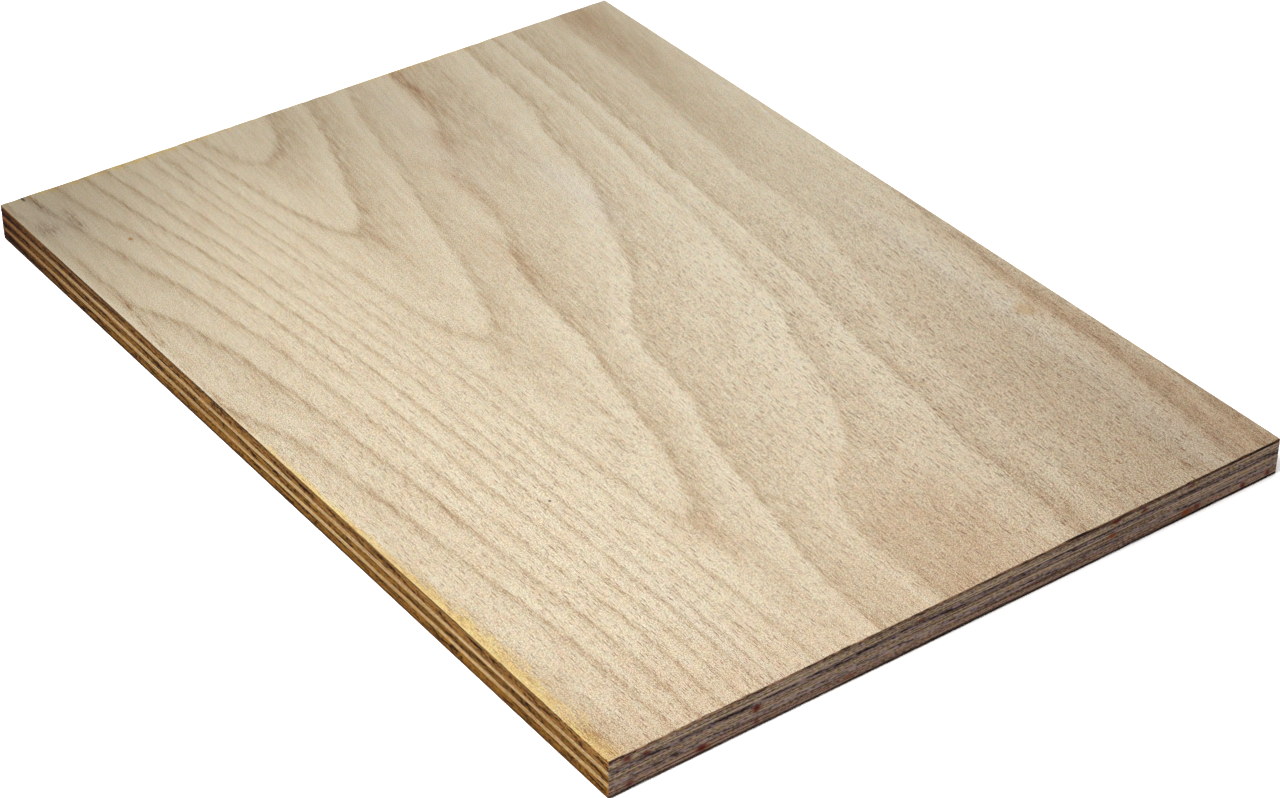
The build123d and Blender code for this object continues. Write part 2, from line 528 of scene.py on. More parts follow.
def outer_veneer(node, shown, rng, age, above, fibres, more_fields):
    """An outer veneer with its sanded face, broken arris and the numbers that its finish reads."""
    bottom, top = levels(node)
    if shown == "top":
        heights = np.append(np.linspace(bottom, top - ARRIS, SAWN_ROWS), top)
    else:
        heights = np.insert(np.linspace(bottom + ARRIS, top, SAWN_ROWS), 0, bottom)
    inset = sawn_inset(rng, face_loop, heights, grain_along_x=True)
    along = SPLINTER_LENGTH / face_loop["step"].min()
    chips = soft_noise(rng, (1, len(inset[0])), (0, along))[0].clip(0, DEEPEST_SPLINTER)
    splinters = chips * SPLINTER_DEPTH
    arris_row, edge_row = (-1, -2) if shown == "top" else (0, 1)
    inset[arris_row] = ARRIS + np.where(face_loop["on_short"], splinters, SPLINTER_ON_LONG_SIDES * splinters)
    inset[edge_row] += np.where(face_loop["on_short"], SPLINTER_BELOW_ARRIS * splinters, 0)
    wave_cells = (2 * SANDER_WAVE_LENGTH / spacing[0], SANDER_WAVE_LENGTH / spacing[1])
    waves = soft_noise(rng, age.shape, wave_cells)
    relief = (waves - waves.min()) / np.ptp(waves) * SANDER_WAVE_DEPTH
    mesh, vertices = ply_mesh(node + "_sheet", face_loop, heights, inset, shown, relief)

    ring_spacing = blurred(np.abs(np.gradient(age, spacing[1], axis=1)), spacing, RING_SPACING_BLUR)
    coarse = SMOOTH_GRAIN + (1 - SMOOTH_GRAIN) / (1 + np.exp((SMOOTH_END - face_xs) / SMOOTH_FADE))
    fields = {"ring_age": age, "fibre_start": fibres, "rings_per_mm": ring_spacing.clip(*RINGS_PER_MM),
              "ring_side": 1 / (1 + np.exp(-above / LIMB_BLEND)),
              "coarse": np.repeat(coarse[:, None], len(face_ys), 1)}
    x, y, on_front, on_right = from_corner(vertices)
    column = np.rint(x / spacing[0]).astype(int)
    row = np.rint(y / spacing[1]).astype(int)
    for name, field in (fields | more_fields).items():
        paint(mesh, name, field[column, row])
    # darker toward the left end of the front edge and toward the back of the right edge
    front_darkening = FRONT_DARKENING / (1 + np.exp((x - DARKENING_END) / DARKENING_FADE))
    right_darkening = (y / (high[1] - low[1])).clip(0, 1) ** RIGHT_DARKENING_CURVE
    paint(mesh, "burn", np.maximum(front_darkening * on_front, right_darkening * on_right))
    place_piece(node, mesh)


outer_veneer(plies[-1], "top", np.random.default_rng(11), face_age, above_axis, face_fibres, face_fields)
outer_veneer(plies[0], "bottom", np.random.default_rng(12), back_age, above_pith, back_fibres, {})

# %% [markdown]
# The inner plies show only at their sawn edges, so their numbers are about the edges. Red-brown spots
# are where the saw cut along a broad ray of the beech, and a few warmer spots lie among them. Dark lines
# are where a ring runs out or a joint was bruised. The front edge is darkened most at its left end.
# A spot has a run along the edge, a height, two half sizes and a strength. A line has a run and a
# height at both of its ends, a half width and a strength. Heights count from the underside.

# %% The five inner plies
ROW_HEIGHT = 0.3
RAY_SPOTS = {
    "upper_crossband": [
        (7, 12.9, 2.0, 1.2, 0.9), (14, 11.6, 1.8, 1.1, 0.9), (124, 11.2, 2.2, 0.8, 0.7),
        (162, 11.2, 1.5, 0.6, 0.8), (209, 13.2, 2.3, 0.9, 1.0), (222, 12.2, 1.9, 0.9, 0.9),
        (244, 12.9, 2.0, 0.9, 0.7), (261, 12.7, 1.3, 0.7, 0.7),
    ],
    "core_crossband": [
        (57, 8.0, 2.0, 1.5, 1.0), (57, 6.4, 1.0, 0.8, 0.7),
    ],
    "lower_crossband": [
        (8, 2.6, 1.8, 1.3, 0.7), (35.5, 2.6, 2.4, 1.5, 1.0), (57, 2.9, 1.0, 1.4, 0.7),
        (247.5, 2.6, 1.8, 1.4, 0.8), (269.5, 2.2, 1.3, 1.5, 0.9), (281.5, 2.4, 1.1, 1.5, 0.9),
    ],
}
WARM_SPOTS = {
    "core_crossband": [
        (207.5, 7.9, 2.0, 1.0, 0.9),
    ],
    "lower_crossband": [
        (38, 2.2, 0.9, 0.8, 0.7), (94, 2.4, 2.4, 1.0, 0.5), (242.5, 2.5, 2.5, 1.4, 1.0),
    ],
}
FRONT_LINES = {
    "upper_crossband": [
        (0, 12.1, 14, 12.0, 0.7, 0.8), (14, 11.9, 40, 12.0, 0.5, 0.5), (48, 12.6, 82, 12.3, 0.55, 0.75),
        (82, 13.0, 97, 13.3, 0.6, 0.6), (214, 13.2, 229, 12.6, 0.7, 0.7), (241, 13.3, 246, 12.6, 0.5, 0.6),
        (254, 13.0, 259, 12.2, 0.5, 0.6), (266, 13.1, 276, 12.5, 0.5, 0.6),
        (335, 11.6, 340, 11.4, 0.4, 0.5), (368, 13.0, 375, 12.7, 0.6, 0.4),
    ],
    "core_crossband": [
        (0, 7.4, 14, 7.6, 0.7, 0.6), (30, 9.0, 45, 8.5, 0.45, 0.6), (45, 8.5, 57, 7.3, 0.5, 0.95),
        (57, 7.3, 69, 6.2, 0.45, 0.8), (103, 8.9, 115, 8.4, 0.3, 0.9), (115, 8.4, 126, 7.4, 0.35, 1.0),
        (126, 7.4, 158, 6.5, 0.3, 0.7), (160, 8.8, 176, 8.8, 0.3, 0.7), (190, 8.9, 214, 8.8, 0.3, 0.6),
        (212, 7.9, 219, 7.2, 0.4, 0.5), (284, 7.0, 300, 6.6, 0.5, 0.5), (300, 7.6, 330, 7.6, 0.6, 0.4),
        (330, 8.0, 398, 8.0, 0.6, 0.4),
    ],
    "lower_crossband": [
        (0, 2.6, 30, 2.2, 1.0, 0.7), (40, 3.5, 47, 3.0, 0.5, 0.8), (46, 2.4, 51, 2.0, 0.5, 0.8),
        (66, 2.6, 71, 3.4, 0.5, 0.7), (76, 2.8, 85, 2.2, 0.5, 0.6), (86, 3.9, 118, 3.7, 0.3, 0.5),
        (193, 3.9, 286, 3.8, 0.3, 0.7), (300, 2.3, 308, 1.8, 0.4, 0.6), (309, 2.6, 314, 2.2, 0.4, 0.5),
        (350, 3.9, 362, 1.6, 0.5, 0.7), (378, 2.4, 384, 2.0, 0.4, 0.4),
    ],
}
RIGHT_LINES = {
    "upper_long_ply": [
        (12, 10.0, 22, 9.7, 0.35, 0.8), (31, 9.9, 35, 9.6, 0.3, 0.7), (42, 10.3, 54, 9.9, 0.4, 0.9),
        (61, 10.2, 72, 9.8, 0.4, 0.9), (78, 10.3, 90, 9.9, 0.35, 0.8), (89, 9.5, 98, 9.4, 0.35, 0.9),
        (99.3, 10.2, 101, 10.2, 0.5, 1.0), (102, 10.5, 120, 10.6, 0.25, 0.6),
        (122, 10.3, 132, 9.7, 0.3, 0.7), (132, 9.6, 141, 9.4, 0.25, 0.6),
        (144, 10.7, 286, 10.7, 0.25, 0.75), (150, 9.4, 240, 9.3, 0.2, 0.35),
        (240, 9.5, 286, 9.4, 0.3, 0.7),
    ],
    "lower_long_ply": [
        (10, 4.9, 20, 4.9, 0.4, 0.7), (150, 5.7, 156, 5.2, 0.25, 0.5), (157, 4.8, 168, 5.3, 0.25, 0.5),
        (189, 4.8, 203, 5.4, 0.25, 0.5), (204, 4.9, 214, 5.5, 0.25, 0.5), (216, 5.0, 262, 4.7, 0.25, 0.6),
        (250, 5.9, 286, 5.6, 0.25, 0.5),
    ],
    "core_crossband": [
        (240, 6.3, 286, 6.2, 0.25, 0.5),
    ],
}
LINE_END_FADE = 4
DARKENING_REACH = 55.0


def spots_on_edge(run, height, spots):
    """Spots on an edge, each (run, height, half length, half height, strength), in millimetres."""
    field = np.zeros(len(run))
    for place, level, along, tall, strength in spots:
        off = np.hypot((run - place) / along, (height - level) / tall)
        field = np.maximum(field, strength * np.exp(-off ** 3))
    return field


def lines_on_edge(run, height, lines):
    """Soft lines on an edge, each from (run, height) to (run, height), with a half width and a strength."""
    field = np.zeros(len(run))
    for run_0, height_0, run_1, height_1, half, strength in lines:
        share = ((run - run_0) / (run_1 - run_0)).clip(0, 1)
        past_end = (run - run_0 - share * (run_1 - run_0)) / LINE_END_FADE
        off = np.hypot(past_end, height - height_0 - share * (height_1 - height_0))
        field = np.maximum(field, strength * np.exp(-(off / half) ** 2))
    return field


def inner_ply(node, rng):
    """An inner ply with its sawn edges and the spots, lines and darkening that its finish reads."""
    bottom, top = levels(node)
    heights = np.linspace(bottom, top, round((top - bottom) / ROW_HEIGHT) + 1)
    inset = sawn_inset(rng, edge_loop, heights, grain_along_x="crossband" not in node)
    mesh, vertices = ply_mesh(node + "_sheet", edge_loop, heights, inset)
    x, y, on_front, on_right = from_corner(vertices)
    z = vertices[:, 2]
    paint(mesh, "ray_spot", spots_on_edge(y, z, RAY_SPOTS.get(node, [])) * on_right)
    paint(mesh, "warm_spot", spots_on_edge(y, z, WARM_SPOTS.get(node, [])) * on_right)
    front_lines = lines_on_edge(x, z, FRONT_LINES.get(node, [])) * on_front
    right_lines = lines_on_edge(y, z, RIGHT_LINES.get(node, [])) * on_right
    paint(mesh, "dark_line", np.maximum(front_lines, right_lines))
    # darker toward the left end of the front edge
    paint(mesh, "burn", np.exp(-x / DARKENING_REACH) * on_front)
    place_piece(node, mesh)


for seed, node in enumerate(plies[1:-1], 21):
    inner_ply(node, np.random.default_rng(seed))

# %% [markdown]
# Materials next. Colours are written as screen hex values, so one function turns them into the linear
# values that light works with. Another adds a node: it sets the node's own settings, then fills each
# input with a number or a link. Everything below is made of those.

# %% A colour and a node
def linear(hex_code):
    """Linear colour of a #RRGGBB value."""
    channels = [int(hex_code[i:i + 2], 16) / 255 for i in (1, 3, 5)]
    return tuple(c / 12.92 if c <= 0.04045 else ((c + 0.055) / 1.055) ** 2.4 for c in channels) + (1.0,)


def fill(tree, node, inputs):
    """Fills a node's inputs with numbers or links. A node given as a value links its first output."""
    for name, value in inputs.items():
        if isinstance(value, bpy.types.Node):
            value = next(output for output in value.outputs if output.enabled)
        if isinstance(value, bpy.types.NodeSocket):
            tree.links.new(value, node.inputs[name])
        else:
            node.inputs[name].default_value = value


def add(tree, kind, inputs, stops=None, **settings):
    """Adds a shader node with settings, ramp stops and inputs. From and To take a pair, Min and Max."""
    node = tree.nodes.new("ShaderNode" + kind)
    for name, value in settings.items():
        setattr(node, name, value)
    if stops:
        elements = node.color_ramp.elements
        while len(elements) < len(stops):
            elements.new(1.0)
        for element, (place, colour) in zip(elements, stops):
            element.position = place
            element.color = linear(colour) if isinstance(colour, str) else (colour, colour, colour, 1.0)
    for name in ("From", "To"):
        if name in inputs:
            lowest, highest = inputs.pop(name)
            inputs |= {name + " Min": lowest, name + " Max": highest}
    fill(tree, node, inputs)
    return node


print("linear value of mid grey:", round(linear("#808080")[0], 3))

# %% [markdown]
# Patterns come before finishes. A pattern has a size in millimetres along and across the grain. The
# place on the wood is divided by that size, so one unit of noise is one grain of the pattern. Noise is
# made on a square lattice, which would show as rows once it is stretched along the grain. So the scaled
# place is also turned, by an angle that differs from size to size. No wood has one hue either: each
# colour channel drifts a little by itself.

# %% Patterns of the wood
NOISE_RANGE = (0.25, 0.75)
DRIFT_TURN = 1.1


def read(tree, names):
    """Numbers that were painted on the mesh, by name. One that was not painted reads as 0."""
    return {name: add(tree, "Attribute", {}, attribute_name=name).outputs["Fac"] for name in names}


def total(tree, parts):
    """The sum of several values."""
    result = parts[0]
    for part in parts[1:]:
        result = add(tree, "Math", {0: result, 1: part}, operation="ADD")
    return result


def product(tree, parts):
    """The product of several values."""
    result = parts[0]
    for part in parts[1:]:
        result = add(tree, "Math", {0: result, 1: part}, operation="MULTIPLY")
    return result


def scaled(tree, place, size, turn):
    """The place in units of a pattern's size along and across, turned so that no lattice shows."""
    scale = (1 / size[0], 1 / size[1], 1.0)
    return add(tree, "Mapping", {"Vector": place, "Rotation": (0, 0, turn), "Scale": scale})


def cloud(tree, place, size, turn, detail):
    """Noise with grains of a size in millimetres, on a lattice that is turned."""
    turned = scaled(tree, place, size, turn)
    return add(tree, "TexNoise", {"Vector": turned, "Scale": 1.0, "Detail": detail}, noise_dimensions="2D")


def grain(tree, place, size, lowest, highest, detail=2.0):
    """Such noise, spread over a range of values."""
    noise = cloud(tree, place, size, size[0], detail)
    return add(tree, "MapRange", {"Value": noise, "From": NOISE_RANGE, "To": (lowest, highest)})


def hue_drift(tree, place, size, swing):
    """A colour near white to multiply with: each channel wanders by itself, over a size in millimetres."""
    noise = cloud(tree, place, size, DRIFT_TURN, detail=3.0)
    start = tuple(1 - 0.5 * channel for channel in swing)
    return add(tree, "VectorMath", {0: noise.outputs["Color"], 1: swing, 2: start}, operation="MULTIPLY_ADD")


def tinted(tree, colour, share, hex_code, blend="MIX"):
    """A colour with a share of another one laid over it."""
    return add(tree, "Mix", {0: share, 6: colour, 7: linear(hex_code)}, data_type="RGBA", blend_type=blend)


def spot_reach(tree, offset, half_size):
    """How far an offset lies from the middle of an oval spot: 1 on its outline."""
    stretch = (1 / half_size[0], 1 / half_size[1], 0.0)
    shape = add(tree, "VectorMath", {0: offset, 1: stretch}, operation="MULTIPLY")
    return add(tree, "VectorMath", {0: shape}, operation="LENGTH").outputs["Value"]


print("noise values from", NOISE_RANGE[0], "to", NOISE_RANGE[1], "are spread over each pattern's own range")

# %% [markdown]
# Rings on a sanded face. Each ring is darkest on its edge, fades slowly outward and turns palest just
# before the next. It is broad on the upper limb and a narrow line on the lower one, so each limb has
# its own profile, and each ring its own strength. Fibres cross a ring's edge at a slant and fray it:
# noise moves it by stated millimetres, less on the lower limb.

# %% Rings of the sanded face
RING_LEAD = 0.2
UPPER_PROFILE = [
    (0.0, 0.05), (0.08, 0.0), (0.14, 0.06), (0.18, 0.55), (0.205, 1.0), (0.27, 0.92), (0.34, 0.74),
    (0.45, 0.62), (0.7, 0.4), (0.9, 0.16), (1.0, 0.05),
]
LOWER_PROFILE = [
    (0.0, 0.04), (0.1, 0.18), (0.165, 0.75), (0.21, 1.0), (0.27, 0.78), (0.34, 0.42), (0.46, 0.2),
    (0.7, 0.05), (1.0, 0.04),
]
UPPER_RINGS = [0.1, 0.42, 0.4, 0.32, 0.42, 0.38, 0.32, 0.38, 0.16, 0.38, 0.38, 0.2, 0.2, 0.2]
LOWER_RINGS = [0.1, 0.26, 0.34, 0.26, 0.28, 0.3, 0.24, 0.38, 0.42, 0.36, 0.4, 0.46, 0.4, 0.2]
FRAY = [((60.0, 8.0), 1.0), ((9.0, 0.8), 1.2), ((2.8, 0.36), 0.7)]
FRAY_OF_LIMBS = (0.45, 0.8)
RING_BREAKS = ((9.0, 1.3), 0.4, 1.6)


def latewood(tree, place, painted):
    """Darkness of the growth rings."""
    limb = painted["ring_side"]
    moved = total(tree, [grain(tree, place, size, -swing, swing) for size, swing in FRAY])
    frayed = add(tree, "MapRange", {"Value": limb, "To": FRAY_OF_LIMBS})
    fray = product(tree, [moved, frayed, painted["rings_per_mm"]])
    age = total(tree, [fray, painted["ring_age"], RING_LEAD])
    phase = add(tree, "Math", {0: age}, operation="FRACT")
    ring = add(tree, "Math", {0: age}, operation="FLOOR")
    count = len(UPPER_RINGS)
    place_of_ring = add(tree, "MapRange", {"Value": ring, "From": (-0.5, count - 0.5)})
    limbs = []
    for profile, rings in ((LOWER_PROFILE, LOWER_RINGS), (UPPER_PROFILE, UPPER_RINGS)):
        line = add(tree, "ValToRGB", {"Fac": phase}, stops=profile)
        steps = [(k / count, darkness) for k, darkness in enumerate(rings)]
        strength = add(tree, "ValToRGB", {"Fac": place_of_ring}, stops=steps)
        strength.color_ramp.interpolation = "CONSTANT"
        limbs.append(product(tree, [line, strength]))
    either = add(tree, "Mix", {0: limb, 2: limbs[0], 3: limbs[1]}, data_type="FLOAT")
    clear = add(tree, "Math", {0: 1.0, 1: painted["faint"]}, operation="SUBTRACT")
    return product(tree, [either, clear, grain(tree, place, *RING_BREAKS, detail=3.0)])


print("rings with a strength of their own:", len(UPPER_RINGS))

# %% [markdown]
# Flecks. A closer look at beech shows short dark spindles, which are its rays cut across: here 2.6 to 4
# mm long and about a third of a millimetre wide. Random cells hold one at most each, and a random
# number says how dark it is. The cells are turned against the grain, again so that no rows show, and
# each spindle is turned back to lie along it. Flecks are almost gone at the smooth left end.

# %% Flecks of the sanded face
FLECKS = [((3.7, 0.58), (1.3, 0.13)), ((6.1, 1.25), (2.0, 0.17))]
CELL_TURN = 0.7
FLECK_CHANCE = (0.55, 0.9)
FLECK_RIM = (1.0, 0.55)
FLECK_SHARE = 0.75
FLECK_FADE = 3.0


def spindles(tree, place, cell, half_size):
    """Dark spindles of a half size, one at most to a cell, as a share from 0 to 1."""
    at_cell = scaled(tree, place, cell, turn=CELL_TURN)
    cells = add(tree, "TexVoronoi", {"Vector": at_cell, "Scale": 1.0}, voronoi_dimensions="2D")
    off = add(tree, "VectorMath", {0: at_cell, 1: cells.outputs["Position"]}, operation="SUBTRACT")
    offset = add(tree, "VectorRotate", {"Vector": off, "Angle": -CELL_TURN}, rotation_type="Z_AXIS")
    reach = spot_reach(tree, offset, (half_size[0] / cell[0], half_size[1] / cell[1]))
    chance = add(tree, "SeparateColor", {0: cells.outputs["Color"]})
    kept = add(tree, "MapRange", {"Value": chance, "From": FLECK_CHANCE})
    return add(tree, "MapRange", {"Value": reach, "From": FLECK_RIM, "To": (0.0, kept)})


def ray_flecks(tree, place, painted):
    """Share of the flecks' brown over the face."""
    small, large = [spindles(tree, place, cell, half_size) for cell, half_size in FLECKS]
    either = add(tree, "Math", {0: small, 1: large}, operation="MAXIMUM")
    share = add(tree, "Math", {0: painted["flecked"], 1: FLECK_SHARE}, operation="ADD")
    clear = add(tree, "Math", {0: painted["coarse"], 1: FLECK_FADE}, operation="POWER")
    return product(tree, [either, share, clear])


print("flecks: half sizes", [half_size for cell, half_size in FLECKS], "mm")

# %% [markdown]
# Peeled beech, sanded: a matt, pale cream wood. Its finish adds up a darkness, to which rings, streaks,
# zones, fibres and pores all give a share, and a ramp turns it into wood colours. Tints go over that one
# by one: the drift of hue, a blush, greyer stretches, painted shade with some of the wood's own greyer
# tone, the yellow tinge and the flecks. The pores of beech are under a tenth of a millimetre, too fine to
# show in the render, so they are drawn as coarse as they need to show, as grains of 0.7 by 0.32 mm. A few
# single marks come last: a brown dot, a black one, a nick, a stain and a scuff, each with its place, half
# sizes, strength and colour.

# %% Finish of the sanded face
FACE_NUMBERS = ("ring_age", "fibre_start", "rings_per_mm", "ring_side", "coarse", *FACE_PATCHES)
SWAY_SIZE = (11.0, 3.5)
SWAY_TURN = 0.5
SWAY_REACH = (2.0, 0.2, 0.0)
STREAK_BREAKS = ((5.0, 0.7), -0.4, 2.0)
TINGE_BREAKS = ((9.0, 2.0), -0.3, 0.15)
TINGE_RANGE = (0.2, 0.65)
TINGE_DARKNESS = -0.12
FIBRE_DARKNESS = ((30.0, 1.6), 0.1, 0.26)
FINE_FIBRES = ((6.0, 0.36), -0.13, 0.13)
PORES = ((0.7, 0.32), -0.66, 0.66)
ROUGHER_IN_FLECKS = 0.6
PALEST_DARKNESS = -0.3
FACE_TONES = [(0.0, "#FFF8E0"), (0.23, "#F2E5CB"), (0.42, "#E3D3B4"), (0.65, "#CFBA99"), (0.88, "#B89D7B"),
              (1.0, "#A68764")]
FACE_DRIFT = ((5.0, 2.2), (0.2, 0.1, 0.25))
BLUSH_IN_STREAKS = 0.2
BLUSH_BREAKS = ((20.0, 5.0), -0.1, 0.16)
BLUSH = "#E8C2A8"
GREYED = "#DED6CD"
SHADE_AND_GREY_TONE = "#B9B4AB"
TINGE = "#FFF0BE"
FLECK_BROWN = "#7E482E"
MARKS = [
    (51.5, 28.5, 1.2, 0.8, 0.9, "#A9743C"), (281, 61.5, 0.6, 0.5, 1.0, "#2A2320"),
    (1.5, 9, 2.2, 0.7, 0.9, "#33281F"), (287, 269, 4.5, 4.0, 0.5, "#C8A066"),
    (235, 250.2, 5.5, 1.0, 0.5, "#EBDDC9"),
]
MARK_RIM = (1.3, 0.5)


def sanded_face(tree, straight, marks):
    """Colour and height of a sanded beech face."""
    painted = read(tree, FACE_NUMBERS)
    fibre = add(tree, "CombineXYZ", {0: add(tree, "SeparateXYZ", {0: straight}), 1: painted["fibre_start"]})
    sway = cloud(tree, fibre, SWAY_SIZE, SWAY_TURN, detail=1.0)
    place = add(tree, "VectorMath", {0: sway.outputs["Color"], 1: SWAY_REACH, 2: fibre},
                operation="MULTIPLY_ADD")

    rings = latewood(tree, place, painted)
    streak = product(tree, [painted["streak"], grain(tree, place, *STREAK_BREAKS, detail=4.0)])
    yellow = total(tree, [painted["yellow"], grain(tree, place, *TINGE_BREAKS)])
    tinge = add(tree, "MapRange", {"Value": yellow, "From": TINGE_RANGE})
    lighter = add(tree, "Math", {0: tinge, 1: TINGE_DARKNESS}, operation="MULTIPLY")
    fibres = grain(tree, place, *FIBRE_DARKNESS, detail=3.0)
    fine = total(tree, [grain(tree, place, *FINE_FIBRES), grain(tree, place, *PORES)])
    rough = add(tree, "Math", {0: painted["flecked"], 1: ROUGHER_IN_FLECKS, 2: painted["coarse"]},
                operation="MULTIPLY_ADD")
    texture = product(tree, [fine, rough])
    darkness = total(tree, [rings, streak, painted["dark"], fibres, texture, lighter])
    tone = add(tree, "MapRange", {"Value": darkness, "From": (PALEST_DARKNESS, 1.0)})
    wood = add(tree, "ValToRGB", {"Fac": tone}, stops=FACE_TONES)

    drift = hue_drift(tree, place, *FACE_DRIFT)
    colour = add(tree, "VectorMath", {0: wood, 1: drift}, operation="MULTIPLY")
    redder = add(tree, "Math", {0: streak, 1: BLUSH_IN_STREAKS, 2: painted["red"]}, operation="MULTIPLY_ADD")
    blush = total(tree, [redder, grain(tree, place, *BLUSH_BREAKS, detail=3.0)])
    colour = tinted(tree, colour, blush, BLUSH, "MULTIPLY")
    colour = tinted(tree, colour, painted["pale"], GREYED, "COLOR")
    # painted shade over the face, partly the wood's own greyer tone
    colour = tinted(tree, colour, painted["dull"], SHADE_AND_GREY_TONE, "MULTIPLY")
    colour = tinted(tree, colour, tinge, TINGE, "MULTIPLY")
    colour = tinted(tree, colour, ray_flecks(tree, place, painted), FLECK_BROWN)
    for x, y, along, across, strength, hex_code in marks:
        middle = (x + low[0], y + low[1], 0.0)
        offset = add(tree, "VectorMath", {0: straight, 1: middle}, operation="SUBTRACT")
        reach = spot_reach(tree, offset, (along, across))
        share = add(tree, "MapRange", {"Value": reach, "From": MARK_RIM, "To": (0.0, strength)})
        colour = tinted(tree, colour, share, hex_code)
    return colour, texture


print("the sanded face reads", len(FACE_NUMBERS), "painted numbers and has", len(MARKS), "single marks")

# %% [markdown]
# Sawn beech edges, dry and rough. Where a ply runs out at an edge, the cut goes through its vessels. End
# grain drinks glue and dust and looks dark brown, and the growth rings cross it as slow slanting lines,
# because a peeled veneer follows the rings closely. Where a ply runs along the edge, the cut lies in the
# fibres, and side grain shows long fine lines. Glue darkens the joint of two plies, mostly on the short
# edges, where it soaked into the open ends of the long fibres. Painted lines, spots and darkening go on top.

# %% Finish of the sawn edges
EDGE_NUMBERS = ("ray_spot", "warm_spot", "burn", "dark_line")
END_RING_PITCH = 3.2
END_RING_DRIFT = 30.0
END_RING_BENDS = [((40.0, 6.0), -0.6, 0.6), ((4.0, 1.2), -0.1, 0.1)]
END_RING_LINE = [(0.0, 0.0), (0.45, 0.05), (0.7, 0.45), (0.85, 1.0), (1.0, 0.0)]
END_RING_BREAKS = ((24.0, 3.0), 0.0, 1.4)
END_MOTTLE = ((6.0, 0.9), -0.35, 0.7)
TORN_VESSELS = ((1.6, 0.7), -0.6, 0.6)
SIDE_LINES = ((60.0, 0.55), -0.3, 1.3)
SIDE_SPECKS = ((1.4, 0.45), -0.56, 0.56)
EDGE_DRIFT = ((2.6, 1.0), (0.6, 0.42, 1.3))
GLUE_LEVEL = ((22.0, 60.0), -0.1, 0.9)
GLUE_REACH = ((8.0, 3.0), -0.25, 0.6)
GLUE_RIM = (-0.05, 0.25)
GLUE_ON_LONG = 0.12
GLUE_ON_SHORT = {"outer_veneer": 0.6, "long_ply": 0.6, "crossband": 0.3}
GLUE_BROWN = "#2A1810"
LINE_BREAKS = ((3.0, 0.8), 0.7, 1.5)
LINE_BROWN = "#240C06"
RAY_RED = "#701A16"
WARM_BROWN = "#9A4A1C"
EDGE_DARKENING_TONES = {"outer_veneer": "#7C6450", "crossband": "#8A6048", "long_ply": "#A88A70"}


def end_grain(tree, along, run, level):
    """Tone and relief of end grain."""
    drift = add(tree, "Math", {0: run, 1: 1 / END_RING_DRIFT}, operation="MULTIPLY")
    rise = add(tree, "Math", {0: level, 1: 1 / END_RING_PITCH, 2: drift}, operation="MULTIPLY_ADD")
    bent = total(tree, [rise] + [grain(tree, along, *bend) for bend in END_RING_BENDS])
    phase = add(tree, "Math", {0: bent}, operation="FRACT")
    line = add(tree, "ValToRGB", {"Fac": phase}, stops=END_RING_LINE)
    rings = product(tree, [line, grain(tree, along, *END_RING_BREAKS)])
    torn = grain(tree, along, *TORN_VESSELS)
    return total(tree, [rings, grain(tree, along, *END_MOTTLE), torn]), torn


def side_grain(tree, along):
    """Tone and relief of side grain."""
    specks = grain(tree, along, *SIDE_SPECKS)
    return total(tree, [grain(tree, along, *SIDE_LINES, detail=4.0), specks]), specks


def glue_line(tree, along, level, top, strength):
    """Share of glue in a line that wanders near the top of a ply and breaks off in places."""
    below_top = add(tree, "Math", {0: top, 1: level}, operation="SUBTRACT")
    off_line = add(tree, "Math", {0: below_top, 1: grain(tree, along, *GLUE_LEVEL)}, operation="SUBTRACT")
    to_line = add(tree, "Math", {0: off_line}, operation="ABSOLUTE")
    wet = add(tree, "Math", {0: grain(tree, along, *GLUE_REACH), 1: to_line}, operation="SUBTRACT")
    return add(tree, "MapRange", {"Value": wet, "From": GLUE_RIM, "To": (0.0, strength)})


def sawn_edge(tree, place, normal, top, slot, tones):
    """Colour and height of sawn edges. tones has a pale and a dark colour for long and short edges."""
    away = add(tree, "SeparateXYZ", {0: normal})
    over_x = add(tree, "Math", {0: away.outputs["X"]}, operation="ABSOLUTE")
    over_y = add(tree, "Math", {0: away.outputs["Y"]}, operation="ABSOLUTE")
    on_short = add(tree, "Math", {0: over_x, 1: over_y}, operation="GREATER_THAN")
    at = add(tree, "SeparateXYZ", {0: place})
    level = at.outputs["Z"]
    run = add(tree, "Mix", {0: on_short, 2: at.outputs["X"], 3: at.outputs["Y"]}, data_type="FLOAT")
    along = add(tree, "CombineXYZ", {0: run, 1: level})

    end_tone, torn = end_grain(tree, along, run, level)
    side_tone, specks = side_grain(tree, along)
    long_tone, short_tone = (end_tone, side_tone) if slot == "crossband" else (side_tone, end_tone)
    woods = []
    for tone, (pale, dark) in zip((long_tone, short_tone), tones):
        woods.append(add(tree, "ValToRGB", {"Fac": tone}, stops=[(0.0, pale), (1.0, dark)]))
    wood = add(tree, "Mix", {0: on_short, 6: woods[0], 7: woods[1]}, data_type="RGBA")
    drift = hue_drift(tree, along, *EDGE_DRIFT)
    colour = add(tree, "VectorMath", {0: wood, 1: drift}, operation="MULTIPLY")

    painted = read(tree, EDGE_NUMBERS)
    soaked = add(tree, "MapRange", {"Value": on_short, "To": (GLUE_ON_LONG, GLUE_ON_SHORT[slot])})
    colour = tinted(tree, colour, glue_line(tree, along, level, top, soaked), GLUE_BROWN)
    lines = product(tree, [painted["dark_line"], grain(tree, along, *LINE_BREAKS)])
    colour = tinted(tree, colour, lines, LINE_BROWN)
    colour = tinted(tree, colour, painted["ray_spot"], RAY_RED)
    colour = tinted(tree, colour, painted["warm_spot"], WARM_BROWN)
    # the edge darkening, toward the left of the front edge and the back of the right one
    colour = tinted(tree, colour, painted["burn"], EDGE_DARKENING_TONES[slot], "MULTIPLY")
    return colour, total(tree, [torn, specks])


print("end-grain rings every", END_RING_PITCH, "mm, drifting one ring in", END_RING_DRIFT, "mm")
